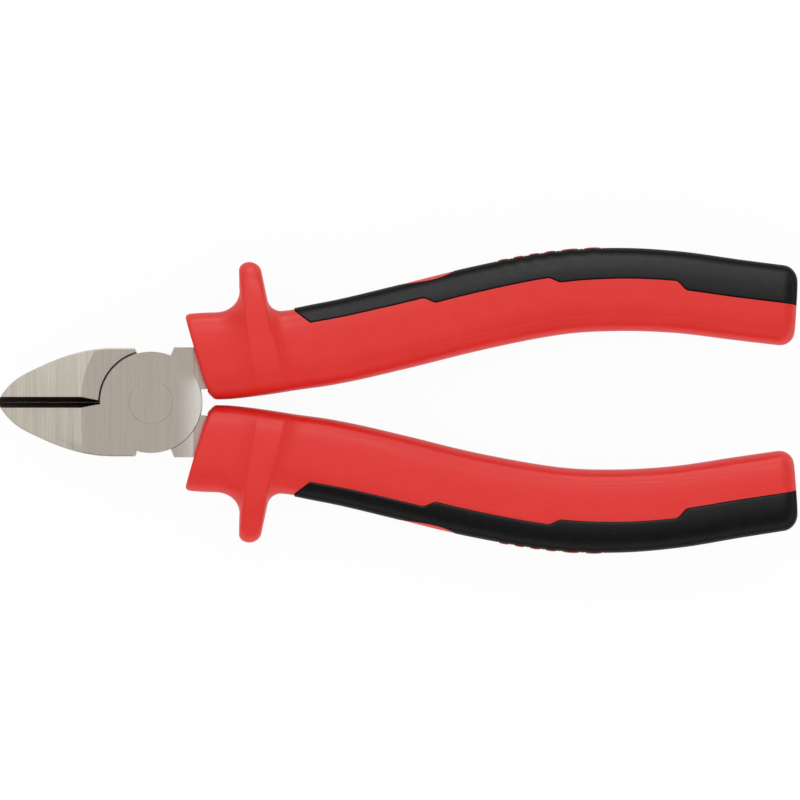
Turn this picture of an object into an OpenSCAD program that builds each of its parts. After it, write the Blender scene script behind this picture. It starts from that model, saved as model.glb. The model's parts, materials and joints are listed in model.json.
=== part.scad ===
// Diagonal cutting pliers with a riveted lap joint and two-colour moulded grips.
// The jaw tips point along -X, the grips lie along +X, and Z is the pivot axis.
// The origin is on the pivot axis, in the plane of the flat back of the joint.
// The rear half is the front half turned over about X, with a handle that turns in a little further.

/* [Overall] */
// Length from the jaw tips to the grip ends
overall_length = 160; // [150:1:180]
// Distance from the pivot axis to the jaw tips
jaw_reach = 30.5; // [28:0.5:34]
// Thickness of the joint over both halves
joint_thickness = 10; // [9:0.2:11]

/* [Joint] */
// Diameter of the round lap on each half
lap_diameter = 20.3; // [18:0.1:21.4]
// Gap between the rim of a lap and the recess in the other half's jaw
rim_gap = 0.4; // [0.3:0.05:0.5]
// Gap between the rim of a lap and the recess in the other half's neck
neck_gap = 0.1; // [0.06:0.02:0.3]
// Gap between the two sliding lap faces
lap_gap = 0.06; // [0.04:0.01:0.1]
// Diameter of the rivet's shank
rivet_shank = 6; // [5:0.1:7]
// Diameter of the rivet's flush ends
rivet_end = 8.8; // [8:0.1:9.6]
// Depth of the cone under each rivet end
rivet_cone = 1.4; // [1:0.1:2]
// Gap round the rivet where it is swaged into the front half
rivet_fit = 0.01; // [0.01:0.01:0.02]
// Running clearance round the rivet in the rear half
rivet_clearance = 0.03; // [0.02:0.01:0.06]

/* [Jaws] */
// How far the jaws stand out past the laps
cheek_rise = 0.7; // [0.55:0.05:1.2]
// Distance from the pivot to the crease where the jaw faces start to slope
slope_start = 14; // [12.5:0.5:18]
// How far the crease curves back at the outer edge, on the side of a jaw with the lap
lap_side_sweep = 0.4; // [0:0.1:1]
// How far the crease curves back at the outer edge, on the other side
far_side_sweep = 3; // [1:0.5:4]
// Distance from the pivot at which a jaw has its full width
full_width_start = 8.8; // [8:0.2:10]
// Thickness of the jaws at the tips
tip_thickness = 3.6; // [2.6:0.1:5]
// Width of the groove over the cutting edges, at the faces
groove_width = 2.2; // [1.4:0.1:3]
// Width of the ground bevel on each side of a cutting edge
bevel_width = 0.4; // [0.2:0.05:0.5]
// Height of the ground bevel above the cutting edge
bevel_height = 0.5; // [0.3:0.05:0.8]
// Flat land along the cutting edge
edge_land = 0.06; // [0.04:0.01:0.1]
// Gap between the closed cutting edges
edge_gap = 0.04; // [0.02:0.01:0.1]
// Radius along the outer edges of a jaw
jaw_round = 0.3; // [0.2:0.05:0.8]
// Distance from the pivot to the back shoulder of a jaw
jaw_back = 3; // [2.6:0.1:4]
// Length of the corner cut on the back shoulder of a jaw
shoulder_cut = 0.5; // [0.3:0.1:1]
// How far the corner cut comes down on the back shoulder
shoulder_drop = 0.9; // [0.4:0.1:1]

/* [Necks and tangs] */
// How far the necks stand out past the laps
neck_rise = 0.85; // [0.6:0.05:1.6]
// Gap between the two necks
neck_spread = 4.9; // [3.6:0.1:6]
// Angle of a neck's front shoulder about the pivot, from +X
neck_angle = 67; // [62:1:70]
// Distance from the pivot at which a neck starts to thin down
thin_start = 8.5; // [8:0.1:9]
// Length over which a neck thins down to its tang
thin_length = 3.4; // [2:0.1:4]
// Thickness of a tang
tang_thickness = 8; // [6:0.2:8.6]
// Width of a tang at its end
tang_width = 7; // [5:0.2:8.6]
// Length over which a tang swings from its neck to the middle of the grip
tang_swing = 24; // [18:1:30]
// Length of grip left solid behind a tang
tang_stop = 14; // [10:1:30]
// Gap between a tang and the grip moulded over it
tang_fit = 0.04; // [0.02:0.01:0.08]

/* [Grips] */
// Width of a grip, in the plane of the handles
grip_width = 16.4; // [15:0.1:18]
// Thickness of a grip
grip_thickness = 14.4; // [13.4:0.2:16]
// Distance from the pivot to the middle of a grip's mouth
mouth_start = 9.2; // [9:0.1:11]
// Height of the middle of a grip's mouth above the centre line
mouth_height = 9.1; // [9:0.1:10]
// Rise of a grip's middle line from its mouth to its highest point
grip_rise = 13.4; // [10:0.1:18]
// How much further the lower handle turns in at its end
lower_turn_in = 1.8; // [0:0.1:3]
// Lean of the mouth past square to the grip, in degrees
mouth_lean = 15; // [0:1:19]
// Length behind the mouth over which the lean fades out
lean_length = 18; // [14:1:24]
// Radius of the edge round the mouth
mouth_round = 0.7; // [0.3:0.1:1]
// Radius of the mouth's inner corner
mouth_corner = 1.3; // [1:0.1:2.4]
// Radius of the mouth's outer corner
mouth_outer_corner = 1.3; // [0.8:0.1:1.3]
// Radius round the closed end of a grip
end_round = 3; // [1.5:0.1:4]

/* [Guards] */
// Height of the slip guard above the outer edge of the grip
guard_height = 10.2; // [6:0.1:12]
// Distance from the mouth to the middle of the guard
guard_place = 13.1; // [12:0.1:14.5]
// Thickness of the guard at its rounded tip
guard_tip = 4; // [3:0.1:4.6]
// Thickness of the guard at its root
guard_root = 4.8; // [4.6:0.1:6]
// Radius of the fillet at the front of the guard's root
guard_front_fillet = 5.2; // [2:0.1:6]
// Radius of the fillet at the back of the guard's root
guard_back_fillet = 2.6; // [2:0.1:4]
// How far the guard's ridge stands out on the flat faces of the grip
guard_swell = 0.9; // [0.3:0.1:1.2]
// Width of the hollow on each side of that ridge
ridge_hollow = 3; // [2:0.1:4]

/* [Soft zones] */
// Thickness of the soft zone
soft_thickness = 1.5; // [1:0.1:2]
// How far the soft zone stands above the skin of the hard sleeve
soft_rise = 0.25; // [0:0.05:0.5]
// How far the soft zone reaches in from the grip's outer edge, at the grip's end
soft_reach = 7.4; // [6:0.1:7.6]
// Seam between the soft zone and the hard sleeve
seam = 0.04; // [0.02:0.01:0.08]
// Number of short hard ribs that show through the soft zone
rib_count = 4; // [2:1:5]
// Number of long ribs behind them
long_rib_count = 2; // [1:1:3]
// Distance from the mouth to the front of the first rib
rib_start = 61.8; // [60:0.2:64]
// Distance from one short rib to the next
rib_pitch = 2.95; // [2.6:0.05:3.4]
// Distance from one long rib to the next
long_rib_pitch = 4.2; // [3.6:0.1:5]
// Width of the notch between two ribs
rib_notch = 0.6; // [0.4:0.1:1]
// Height of a rib above the soft zone
rib_height = 0.2; // [0.2:0.05:0.6]
// Distance from the mouth to the middle of the bare oval pad
pad_place = 48; // [47:0.2:49]
// Length of the oval pad
pad_length = 11; // [8:0.2:13]
// Height of the oval pad above the skin of the hard sleeve
pad_height = 0.2; // [0.1:0.05:0.4]

/* [Hidden] */
$fn = 96;

// One overrun serves every cut
overrun = 1;

// Joint and neck sizes that follow from the driving dimensions
joint_half = joint_thickness / 2;
lap_radius = lap_diameter / 2;
recess_radius = lap_radius + rim_gap;
jaw_half_width = lap_radius + cheek_rise;
neck_top = lap_radius + neck_rise;
neck_bottom = neck_spread / 2;
neck_middle = (neck_top + neck_bottom) / 2;
neck_half_width = (neck_top - neck_bottom) / 2;
// Where a neck's outline starts inside the lap, as a share of the lap's radius
neck_root_share = 0.6;

// Outline of a jaw: share of the way from tip to full width, and share of the full width
jaw_outline_shares = [
    [0, 0.07], [0.05, 0.21], [0.105, 0.335], [0.2, 0.48], [0.385, 0.665],
    [0.565, 0.815], [0.745, 0.925], [0.895, 0.98], [1, 1]
];
// Most of a jaw's width that the groove may take near the tip
groove_limit_share = 0.85;
// Most of the wall beside the groove that the ground bevel or the edge radius may take
bevel_limit_share = 0.5;
round_limit_share = 0.8;
// Width left of the groove where it runs out at the lap
groove_end_share = 0.2;
nose_steps = 16;
sweep_tries = 4;
// How much the cross-sections crowd towards the tip
tip_crowding = 1.4;
heel_steps = 3;
face_steps = 4;
round_steps = 3;

// Middle line of a grip: share of its run along X, and share of its rise
grip_line_shares = [
    [0, 0], [0.13, 0.07], [0.23, 0.21], [0.33, 0.415], [0.47, 0.725],
    [0.6, 0.946], [0.7, 1], [0.8, 0.96], [0.9, 0.845], [1, 0.735]
];
// Where the lower handle starts to turn in further, as a share of the run, and how gently
turn_in_start_share = 0.4;
turn_in_power = 1.15;
// How far the handle being drawn turns in at its end
$turn_in = 0;
// Width and thickness of a grip along its run, as shares of its nominal size
grip_width_shares = [
    [0, 1.1], [0.035, 1.093], [0.09, 1.037], [0.134, 0.995], [0.165, 0.983], [0.21, 1], [0.68, 1.005],
    [0.86, 0.975], [1, 0.965]
];
grip_thickness_shares = [
    [0, 0.89], [0.15, 0.9], [0.35, 0.965], [0.6, 1], [0.85, 0.97], [1, 0.93]
];
// Reach of the soft zone along the run: three steps inward, as shares of its reach at the end
soft_reach_shares = [
    [0.172, 0.04], [0.196, 0.45], [0.387, 0.49], [0.404, 0.695], [0.588, 0.665],
    [0.608, 0.83], [0.794, 0.78], [0.817, 1], [1, 0.98]
];
// Last share of the run, where the cross-sections turn back, and the share of their lean left there
end_turn_share = 0.1;
end_lean_share = 0.45;
// Roundness of the grip's cross-section: 2 is an ellipse, more is squarer
section_power = 3;
// Half the angle that a rib and the oval pad cover round the grip's outer edge
rib_spread = 16;
pad_spread = 27;
pad_end_share = 0.12;
// How much wider the pad is towards its back
pad_skew_share = 0.3;
// Ramp at each side of a rib, as a share of the short ribs' pitch
rib_ramp_share = 0.13;
// How far a rib or the pad is rooted in the sleeve, as a share of the soft zone's thickness
root_share = 0.4;

grip_end = overall_length - jaw_reach;
grip_run = grip_end - mouth_start;
ring_points = 24;
soft_points = 11;
rib_points = 6;
pad_points = 7;
arc_steps = 4;
body_steps = 18;
pad_steps = 8;
tang_steps = 18;
// Longest step between two cross-sections of the soft zone, as a share of the run
soft_step_share = 0.04;
// Step for slopes, as a share of the run
slope_share = 0.002;
// Turn round the grip that stands for the seam
seam_turn = seam / (grip_thickness / 2) * 180 / PI;

// Smooth reading of a table of [place, value] pairs, through every pair
function table_span(table, at, i = 0) =
    i >= len(table) - 2 || at <= table[i + 1][0] ? i : table_span(table, at, i + 1);
function table_grade(table, i) =
    let (a = max(i - 1, 0), b = min(i + 1, len(table) - 1))
    (table[b][1] - table[a][1]) / (table[b][0] - table[a][0]);
function smooth_span(table, i, s) =
    let (gap = table[i + 1][0] - table[i][0])
    table[i][1] * (2 * s ^ 3 - 3 * s ^ 2 + 1)
    + table[i + 1][1] * (3 * s ^ 2 - 2 * s ^ 3)
    + table_grade(table, i) * gap * (s ^ 3 - 2 * s ^ 2 + s)
    + table_grade(table, i + 1) * gap * (s ^ 3 - s ^ 2);
function smooth(table, place) =
    let (at = min(max(place, 0), 1), i = table_span(table, at))
    smooth_span(table, i, (at - table[i][0]) / (table[i + 1][0] - table[i][0]));
// Eases from 0 to 1 with a level start and end
function ease(s) = let (c = min(max(s, 0), 1)) c * c * (3 - 2 * c);
function mix(a, b, s) = a + (b - a) * s;

// Joins rings of points into one closed solid. Point k of a ring faces point count - 1 - k.
module loft(rings) {
    count = len(rings[0]);
    last = (len(rings) - 1) * count;
    walls = [
        for (i = [0 : len(rings) - 2], k = [0 : count - 1])
            let (a = i * count + k, b = i * count + (k + 1) % count)
                each [[a, b + count, b], [a, a + count, b + count]]
    ];
    first_end = [
        for (k = [0 : count / 2 - 2])
            each [[k, k + 1, count - 2 - k], [k, count - 2 - k, count - 1 - k]]
    ];
    last_end = [for (f = first_end) [last + f[0], last + f[2], last + f[1]]];
    polyhedron(points = [for (ring = rings) each ring], faces = concat(walls, first_end, last_end));
}

// Jaws

function jaw_width(x) =
    jaw_half_width * smooth(jaw_outline_shares, (x + jaw_reach) / (jaw_reach - full_width_start));
function jaw_half_thickness(x) =
    mix(tip_thickness / 2, joint_half, min((x + jaw_reach) / (jaw_reach - slope_start), 1));
// Half the groove's width: full along the nose, then running out at the lap
function groove_half(x, width) =
    let (out = min(max((x + slope_start) / (slope_start - recess_radius), 0), 1))
    min(mix(groove_width / 2, groove_width * groove_end_share, out), width * groove_limit_share);
// A cross-section bows back by its sweep, which is full along the nose and ends at the back shoulder
function jaw_sweep(x, side) =
    (side > 0 ? lap_side_sweep : far_side_sweep) * min((x + jaw_back) / (jaw_back - slope_start), 1);
function swept(x, side, width) = x + jaw_sweep(x, side) * (width / jaw_half_width) ^ 2;
// Width of a bowed cross-section whose outer end lies on the jaw's outline
function swept_width(x, side, tries = sweep_tries) =
    jaw_width(tries == 0 ? x : swept(x, side, swept_width(x, side, tries - 1)));

// One side of a jaw's cross-section: distance out from the edge plane, and height
function jaw_profile(x, width) =
    let (
        edge = edge_gap / 2,
        half = jaw_half_thickness(x),
        groove = groove_half(x, width),
        bevel = min(bevel_width, (groove - edge) * bevel_limit_share),
        radius = min(jaw_round, (width - groove) * round_limit_share),
        flat_end = width - radius
    )
    concat(
        [[edge, edge_land / 2], [edge + bevel, bevel_height]],
        [for (k = [0 : face_steps]) [mix(groove, flat_end, k / face_steps), half]],
        [
            for (k = [1 : round_steps])
                let (turn = 90 * k / round_steps)
                    [flat_end + radius * sin(turn), half - radius * (1 - cos(turn))]
        ]
    );
function jaw_ring(x, cut = 0) =
    let (
        near = jaw_profile(x, swept_width(x, 1) - cut),
        far = jaw_profile(x, swept_width(x, -1) - cut),
        n = len(near)
    )
    concat(
        [for (p = near) [swept(x, 1, p[0]), -p[0], p[1]]],
        [for (k = [n - 1 : -1 : 0]) [swept(x, -1, far[k][0]), -far[k][0], -far[k][1]]]
    );

// The lower jaw, from its tip to its back shoulder
module jaw() {
    nose = [
        for (i = [0 : nose_steps])
            mix(-jaw_reach, -slope_start, (i / nose_steps) ^ tip_crowding)
    ];
    heel = [for (i = [1 : heel_steps]) mix(-slope_start, -recess_radius, i / heel_steps)];
    back = [
        for (i = [1 : heel_steps])
            mix(-recess_radius, -jaw_back - shoulder_cut, i / heel_steps)
    ];
    full = [for (x = concat(nose, heel, back)) jaw_ring(x)];
    loft(concat(full, [jaw_ring(-jaw_back, shoulder_drop)]));
}

// Necks and tangs

function turned_in(share) =
    $turn_in * max((share - turn_in_start_share) / (1 - turn_in_start_share), 0) ^ turn_in_power;
function grip_middle(x) =
    let (share = min(max((x - mouth_start) / grip_run, 0), 1))
    mouth_height + grip_rise * smooth(grip_line_shares, share) - turned_in(share);
function tang_middle(x) = mix(neck_middle, grip_middle(x), ease((x - thin_start) / tang_swing));
function tang_half(x) = mix(neck_half_width, tang_width / 2, ease((x - thin_start) / tang_swing));
function tang_slope(x) =
    let (step = slope_share * grip_run)
    atan2(tang_middle(x + step) - tang_middle(x - step), 2 * step);

tang_tip = grip_end - tang_stop;

function tang_edge(x, side, extra) =
    let (slope = tang_slope(x), out = side * (tang_half(x) + extra))
    [x - out * sin(slope), tang_middle(x) + out * cos(slope)];

// Outline of a neck and its tang, with a round tip, and room to spare for the grip's cavity
function handle_outline(extra) =
    let (
        places = [for (i = [0 : tang_steps]) mix(thin_start, tang_tip, i / tang_steps)],
        slope = tang_slope(tang_tip),
        radius = tang_half(tang_tip) + extra,
        root = lap_radius * neck_root_share
    )
    concat(
        [[root * cos(neck_angle), root * sin(neck_angle)]],
        [[(neck_top + extra) / tan(neck_angle), neck_top + extra]],
        [for (x = places) tang_edge(x, 1, extra)],
        [
            for (i = [1 : 2 * arc_steps - 1])
                let (turn = slope + 90 - 90 * i / arc_steps)
                    [tang_tip + radius * cos(turn), tang_middle(tang_tip) + radius * sin(turn)]
        ],
        [for (i = [tang_steps : -1 : 0]) tang_edge(places[i], -1, extra)],
        [[root, neck_bottom - extra]]
    );

// The neck thins down evenly on both faces to the tang
module handle_bar(extra) {
    thick = joint_half + extra;
    thin = tang_thickness / 2 + extra;
    far = grip_end + overrun;
    intersection() {
        linear_extrude(2 * thick, center = true) polygon(handle_outline(extra));
        rotate([90, 0, 0]) linear_extrude(2 * grip_end, center = true) polygon([
            [0, -thick], [thin_start, -thick], [thin_start + thin_length, -thin], [far, -thin],
            [far, thin], [thin_start + thin_length, thin], [thin_start, thick], [0, thick]
        ]);
    }
}

// Joint

// The rivet, made larger on the radius for its hole, whose cones flare on past the faces
module rivet_shape(extra, past) {
    shank = rivet_shank / 2 + extra;
    flare = rivet_end / 2 + extra + past * (rivet_end - rivet_shank) / 2 / rivet_cone;
    reach = joint_half + past;
    rotate_extrude() polygon([
        [0, -reach], [flare, -reach], [shank, rivet_cone - joint_half],
        [shank, joint_half - rivet_cone], [flare, reach], [0, reach]
    ]);
}

// One forging: a jaw, a lap on the front side and a neck with its tang
module forged_half(hole_extra) {
    difference() {
        union() {
            jaw();
            translate([0, 0, lap_gap / 2]) cylinder(h = joint_half - lap_gap / 2, r = lap_radius);
            handle_bar(0);
        }
        recess();
        rivet_shape(hole_extra, overrun);
    }
}

// Room behind a lap for the other half's lap, wider on the side of the jaw
module recess() {
    depth = joint_half + overrun + lap_gap / 2;
    translate([0, 0, -joint_half - overrun]) {
        cylinder(h = depth, r = lap_radius + neck_gap);
        intersection() {
            cylinder(h = depth, r = recess_radius);
            translate([-2 * recess_radius, -recess_radius, 0])
                cube([2 * recess_radius, 2 * recess_radius, depth]);
        }
    }
}

// Grips

function grip_half_width(d) = grip_width / 2 * smooth(grip_width_shares, d / grip_run);
function grip_half_thickness(d) = grip_thickness / 2 * smooth(grip_thickness_shares, d / grip_run);
function grip_slope(d) =
    let (step = slope_share * grip_run, x = mouth_start + d)
    atan2(grip_middle(x + step) - grip_middle(x - step), 2 * step);
// Lean of a cross-section: square to the grip, more at the mouth, and nearly upright at the end
function section_lean(d) =
    let (end_turn = min(max((d / grip_run - 1) / end_turn_share + 1, 0), 1))
    grip_slope(d) * (1 - end_turn * (1 - end_lean_share)) + mouth_lean * max(1 - d / lean_length, 0);
// How far the leaning end is set back, so that its furthest corner keeps the overall length
function end_setback() =
    let (near_end = grip_run * (1 - 2 * slope_share))
    (grip_half_width(near_end) - end_round) * sin(abs(section_lean(near_end)));
function squared(c) = sign(c) * abs(c) ^ (2 / section_power);

// The ridge of the guard on the flat faces, level on top, with a hollow on each side
function ridge(d) =
    guard_swell * max(1 - max(abs(d - guard_place) - guard_tip / 2, 0) / ridge_hollow, 0) ^ 2;

// A point of a grip's skin at a turn round it: 0 is the outer edge, 180 the inner edge
function grip_point(d, turn, grow, rise = 0, outer_cut = 0, inner_cut = 0) =
    let (
        out = (grip_half_width(d) + grow) * squared(cos(turn))
            + (rise - outer_cut) * max(cos(turn), 0) + inner_cut * max(-cos(turn), 0),
        deep = (grip_half_thickness(d) + ridge(d) + grow) * squared(sin(turn)),
        lean = section_lean(d)
    )
    [mouth_start + d - out * sin(lean), grip_middle(mouth_start + d) + out * cos(lean), deep];

// Each station is [distance from the mouth, growth, guard rise, outer corner cut, inner corner cut]
function corner_cut(d, radius) = d < radius ? radius - sqrt(radius ^ 2 - (radius - d) ^ 2) : 0;
function mouth_station(d, grow) =
    [d, grow, 0, corner_cut(d, mouth_outer_corner), corner_cut(d, mouth_corner)];
mouth_stations = concat(
    [
        for (i = [0 : arc_steps])
            let (turn = 90 * i / arc_steps)
                mouth_station(mouth_round * (1 - cos(turn)), -mouth_round * (1 - sin(turn)))
    ],
    [for (d = [(mouth_round + mouth_corner) / 2, mouth_corner]) mouth_station(d, 0)]
);
// Outline of one side of the guard, from its fillet to the middle of its round tip
function guard_side(fillet) = concat(
    [
        for (i = [0 : arc_steps])
            let (turn = 90 * i / arc_steps)
                [guard_root / 2 + fillet * (1 - sin(turn)), fillet * (1 - cos(turn))]
    ],
    [
        for (i = [0 : arc_steps])
            let (turn = 90 * i / arc_steps)
                [guard_tip / 2 * cos(turn), guard_height - guard_tip / 2 * (1 - sin(turn))]
    ]
);
guard_front = guard_side(guard_front_fillet);
guard_back = guard_side(guard_back_fillet);
guard_stations = concat(
    [for (p = guard_front) [guard_place - p[0], 0, p[1], 0, 0]],
    [
        for (i = [len(guard_back) - 2 : -1 : 0])
            [guard_place + guard_back[i][0], 0, guard_back[i][1], 0, 0]
    ]
);
guard_end = guard_place + guard_root / 2 + guard_back_fillet;
// Where the rounding of the closed end starts
function rounding_start() = grip_run - end_setback() - end_round;
function body_stations() = [
    for (i = [1 : body_steps])
        [mix(guard_end, rounding_start(), i / body_steps), 0, 0, 0, 0]
];
function end_stations() = [
    for (i = [1 : arc_steps])
        let (turn = 90 * i / arc_steps)
            [rounding_start() + end_round * sin(turn), -end_round * (1 - cos(turn)), 0, 0, 0]
];

// The whole moulded grip, before it is parted into a hard sleeve and a soft zone
module grip_form() {
    loft([
        for (s = concat(mouth_stations, guard_stations, body_stations(), end_stations()))
            [
                for (k = [0 : ring_points - 1])
                    grip_point(s[0], (k + 0.5) * 360 / ring_points, s[1], s[2], s[3], s[4])
            ]
    ]);
}

// A curved strip along the grip's outer edge, between two depths below its skin.
// Each station is [distance from the mouth, half angle, top above the skin, floor below it].
module edge_strip(stations, points) {
    across = [for (k = [0 : points - 1]) 2 * k / (points - 1) - 1];
    loft([
        for (s = stations)
            concat(
                [for (k = [0 : points - 1]) grip_point(s[0], s[1] * across[k], s[2])],
                [for (k = [points - 1 : -1 : 0]) grip_point(s[0], s[1] * across[k], -s[3])]
            )
    ]);
}

// Soft zones

function soft_reach_at(d) = soft_reach * lookup(d / grip_run, soft_reach_shares);
function soft_spread(d) =
    acos(max(1 - soft_reach_at(d) / grip_half_width(d), 0) ^ (section_power / 2));
// Cross-sections at every step of the zone's border, and between steps that lie far apart
function soft_places() = [
    for (i = [0 : len(soft_reach_shares) - 2])
        let (
            from = soft_reach_shares[i][0],
            to = min(soft_reach_shares[i + 1][0], rounding_start() / grip_run),
            steps = ceil((to - from) / soft_step_share)
        )
            for (j = [0 : steps - 1]) mix(from, to, j / steps) * grip_run
];
// The zone's skin and floor follow the rounding of the grip's end
function soft_stations(top, floor, extra_turn) = concat(
    [for (d = soft_places()) [d, soft_spread(d) + extra_turn, top, floor]],
    [[rounding_start(), soft_spread(rounding_start()) + extra_turn, top, floor]],
    [for (s = end_stations()) [s[0], soft_spread(s[0]) + extra_turn, top + s[1], floor - s[1]]]
);

// The pocket in the sleeve runs out of the grip's skin and past its end
module soft_pocket() {
    body = soft_stations(soft_rise + overrun, soft_thickness + seam, seam_turn);
    first = body[0];
    last = body[len(body) - 1];
    before = [[first[0] - seam, first[1], first[2], first[3]]];
    beyond = [[last[0] + overrun, last[1], last[2], last[3]]];
    edge_strip(concat(before, body, beyond), soft_points);
}

// A rib, or with extra room the slot that it shows through
module rib(index, extra, top, floor) {
    long_ones = max(index - rib_count, 0);
    front = rib_start + min(index, rib_count) * rib_pitch + long_ones * long_rib_pitch - extra;
    pitch = index < rib_count ? rib_pitch : long_rib_pitch;
    back = front + pitch - rib_notch + 2 * extra;
    ramp = rib_pitch * rib_ramp_share;
    spread = rib_spread + extra / seam * seam_turn;
    edge_strip([
        [front, spread, top[0], floor], [front + ramp, spread, top[1], floor],
        [back - ramp, spread, top[1], floor], [back, spread, top[0], floor]
    ], rib_points);
}

// The oval pad, or with extra room the window that it shows through
module pad(extra, top, floor) {
    half = pad_length / 2 + extra;
    edge_strip([
        for (i = [0 : pad_steps])
            let (s = 2 * i / pad_steps - 1, oval = sqrt(1 - s * s))
                [
                    pad_place + half * s,
                    pad_spread * max(oval * (1 + pad_skew_share * s), pad_end_share)
                        + extra / seam * seam_turn,
                    mix(top[0], top[1], ease(2 * oval)),
                    floor
                ]
    ], pad_points);
}

module grip_sleeve() {
    root = soft_thickness * (1 + root_share);
    difference() {
        union() {
            difference() {
                grip_form();
                soft_pocket();
            }
            for (i = [0 : rib_count + long_rib_count - 1])
                rib(i, 0, [soft_rise, soft_rise + rib_height], root);
            pad(0, [0, pad_height], root);
        }
        handle_bar(tang_fit);
    }
}

module soft_zone() {
    through = soft_thickness + overrun;
    above = soft_rise + overrun;
    difference() {
        edge_strip(soft_stations(soft_rise, soft_thickness, 0), soft_points);
        for (i = [0 : rib_count + long_rib_count - 1]) rib(i, seam, [above, above], through);
        pad(seam, [above, above], through);
    }
}

// Placing: up to the back of the joint, and turned over for the rear half

module lifted() {
    translate([0, 0, joint_half]) children();
}

module turned_over() {
    lifted() rotate([180, 0, 0]) children();
}

module front_jaw_half() {
    color("silver") lifted() forged_half(rivet_fit);
}

module rear_jaw_half() {
    color("silver") turned_over() forged_half(rivet_clearance, $turn_in = lower_turn_in);
}

module pivot_rivet() {
    color("gray") lifted() rivet_shape(0, 0);
}

module upper_grip_sleeve() {
    color("firebrick") lifted() grip_sleeve();
}

module lower_grip_sleeve() {
    color("firebrick") turned_over() grip_sleeve($turn_in = lower_turn_in);
}

module upper_soft_grip() {
    color("dimgray") lifted() soft_zone();
}

module lower_soft_grip() {
    color("dimgray") turned_over() soft_zone($turn_in = lower_turn_in);
}

front_jaw_half();
rear_jaw_half();
pivot_rivet();
upper_grip_sleeve();
lower_grip_sleeve();
upper_soft_grip();
lower_soft_grip();
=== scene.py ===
"""Diagonal cutting pliers: two forged halves on a flush rivet, with grips moulded in two shots."""

import json
import math

import bmesh
import bpy
import numpy as np
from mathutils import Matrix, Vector

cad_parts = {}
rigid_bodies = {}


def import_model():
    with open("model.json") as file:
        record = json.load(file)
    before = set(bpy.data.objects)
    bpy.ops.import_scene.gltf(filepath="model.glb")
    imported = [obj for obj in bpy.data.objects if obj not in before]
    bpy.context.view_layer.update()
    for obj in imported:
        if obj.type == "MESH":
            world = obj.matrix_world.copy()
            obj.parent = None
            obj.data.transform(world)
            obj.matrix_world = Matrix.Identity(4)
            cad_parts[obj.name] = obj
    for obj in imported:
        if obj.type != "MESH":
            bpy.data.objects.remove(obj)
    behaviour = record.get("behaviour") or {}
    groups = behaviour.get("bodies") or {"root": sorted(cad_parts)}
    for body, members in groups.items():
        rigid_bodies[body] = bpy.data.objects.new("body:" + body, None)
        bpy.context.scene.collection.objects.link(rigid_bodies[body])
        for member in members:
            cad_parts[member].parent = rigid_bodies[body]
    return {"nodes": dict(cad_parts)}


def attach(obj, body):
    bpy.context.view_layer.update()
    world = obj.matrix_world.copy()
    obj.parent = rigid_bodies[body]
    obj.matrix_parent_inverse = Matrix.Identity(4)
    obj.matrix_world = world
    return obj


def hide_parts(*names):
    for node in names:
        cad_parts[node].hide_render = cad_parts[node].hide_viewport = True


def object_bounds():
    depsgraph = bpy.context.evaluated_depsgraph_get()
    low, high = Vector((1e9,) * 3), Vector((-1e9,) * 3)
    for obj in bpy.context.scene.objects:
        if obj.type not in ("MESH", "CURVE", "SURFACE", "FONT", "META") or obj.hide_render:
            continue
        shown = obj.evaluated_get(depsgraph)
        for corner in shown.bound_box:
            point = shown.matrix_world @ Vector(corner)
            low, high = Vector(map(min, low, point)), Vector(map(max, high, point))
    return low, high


for leftover in list(bpy.data.objects):
    bpy.data.objects.remove(leftover)

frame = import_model()
cad_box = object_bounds()

# Sizes are in millimetres and in the frame of the part's source, until a mesh is made.
MM = 0.001
JOINT_HALF = 5.0

# The head: what the steel's finish and its broken edges are placed by.
SLOPE_START = 14.0
LAP_SIDE_SWEEP = 0.4
FAR_SIDE_SWEEP = 3.0
JAW_HALF_WIDTH = 10.85
GROOVE_REACH = 1.25
GROOVE_BACK = 9.4
EDGE_BREAK = 0.1
EDGE_BREAK_STEPS = 2
# The cutting edges, which close up to a hair.
EDGE_REACH = 0.06
EDGE_CLOSING = 0.15
RIVET_END = 8.8
RIVET_SHANK = 6.0
RIVET_CONE = 1.4
RIVET_EDGE_RADIUS = 0.03
RIVET_EDGE_WIDTH = 3 * RIVET_EDGE_RADIUS
RIVET_FIT = 0.02

# How the faces of a forging are told apart, by the share of a normal along the pivot or the tool.
LEVEL = 0.999
UPRIGHT = 0.2
WORN_HIGHLIT_SLOPES = (0.1, 0.93)
GROOVE_SLOPE = 0.8
TIP_FACING = -0.7
CREASE_LEVELS = (0.9995, 0.9999)
# How near a place has to be to the front or back face to lie on it.
ON_FACE = 0.01
# Faces that turn less than this, in degrees, are one, and so are points closer than this.
SAME_FACE_ANGLE = 0.2
SAME_POINT = 0.0001
# Edges that turn more than this, in degrees, stay sharp.
FORGED_SHARP_ANGLE = 33
SHARP_ANGLE = 38

# The tangs inside the grips.
NECK_MIDDLE = 6.725
NECK_HALF_WIDTH = 4.275
THIN_START = 8.5
THIN_LENGTH = 3.4
TANG_LEAD = 6
TANG_HALF_THICKNESS = 4.0
TANG_HALF_WIDTH = 3.5
TANG_SWING = 24.0
TANG_STOP = 14.0
TANG_FIT = 0.12
TANG_TIP_FIT = 3 * TANG_FIT
TANG_BLUNTNESS = 0.01
TANG_SLOPE_STEP = 0.2

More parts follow.
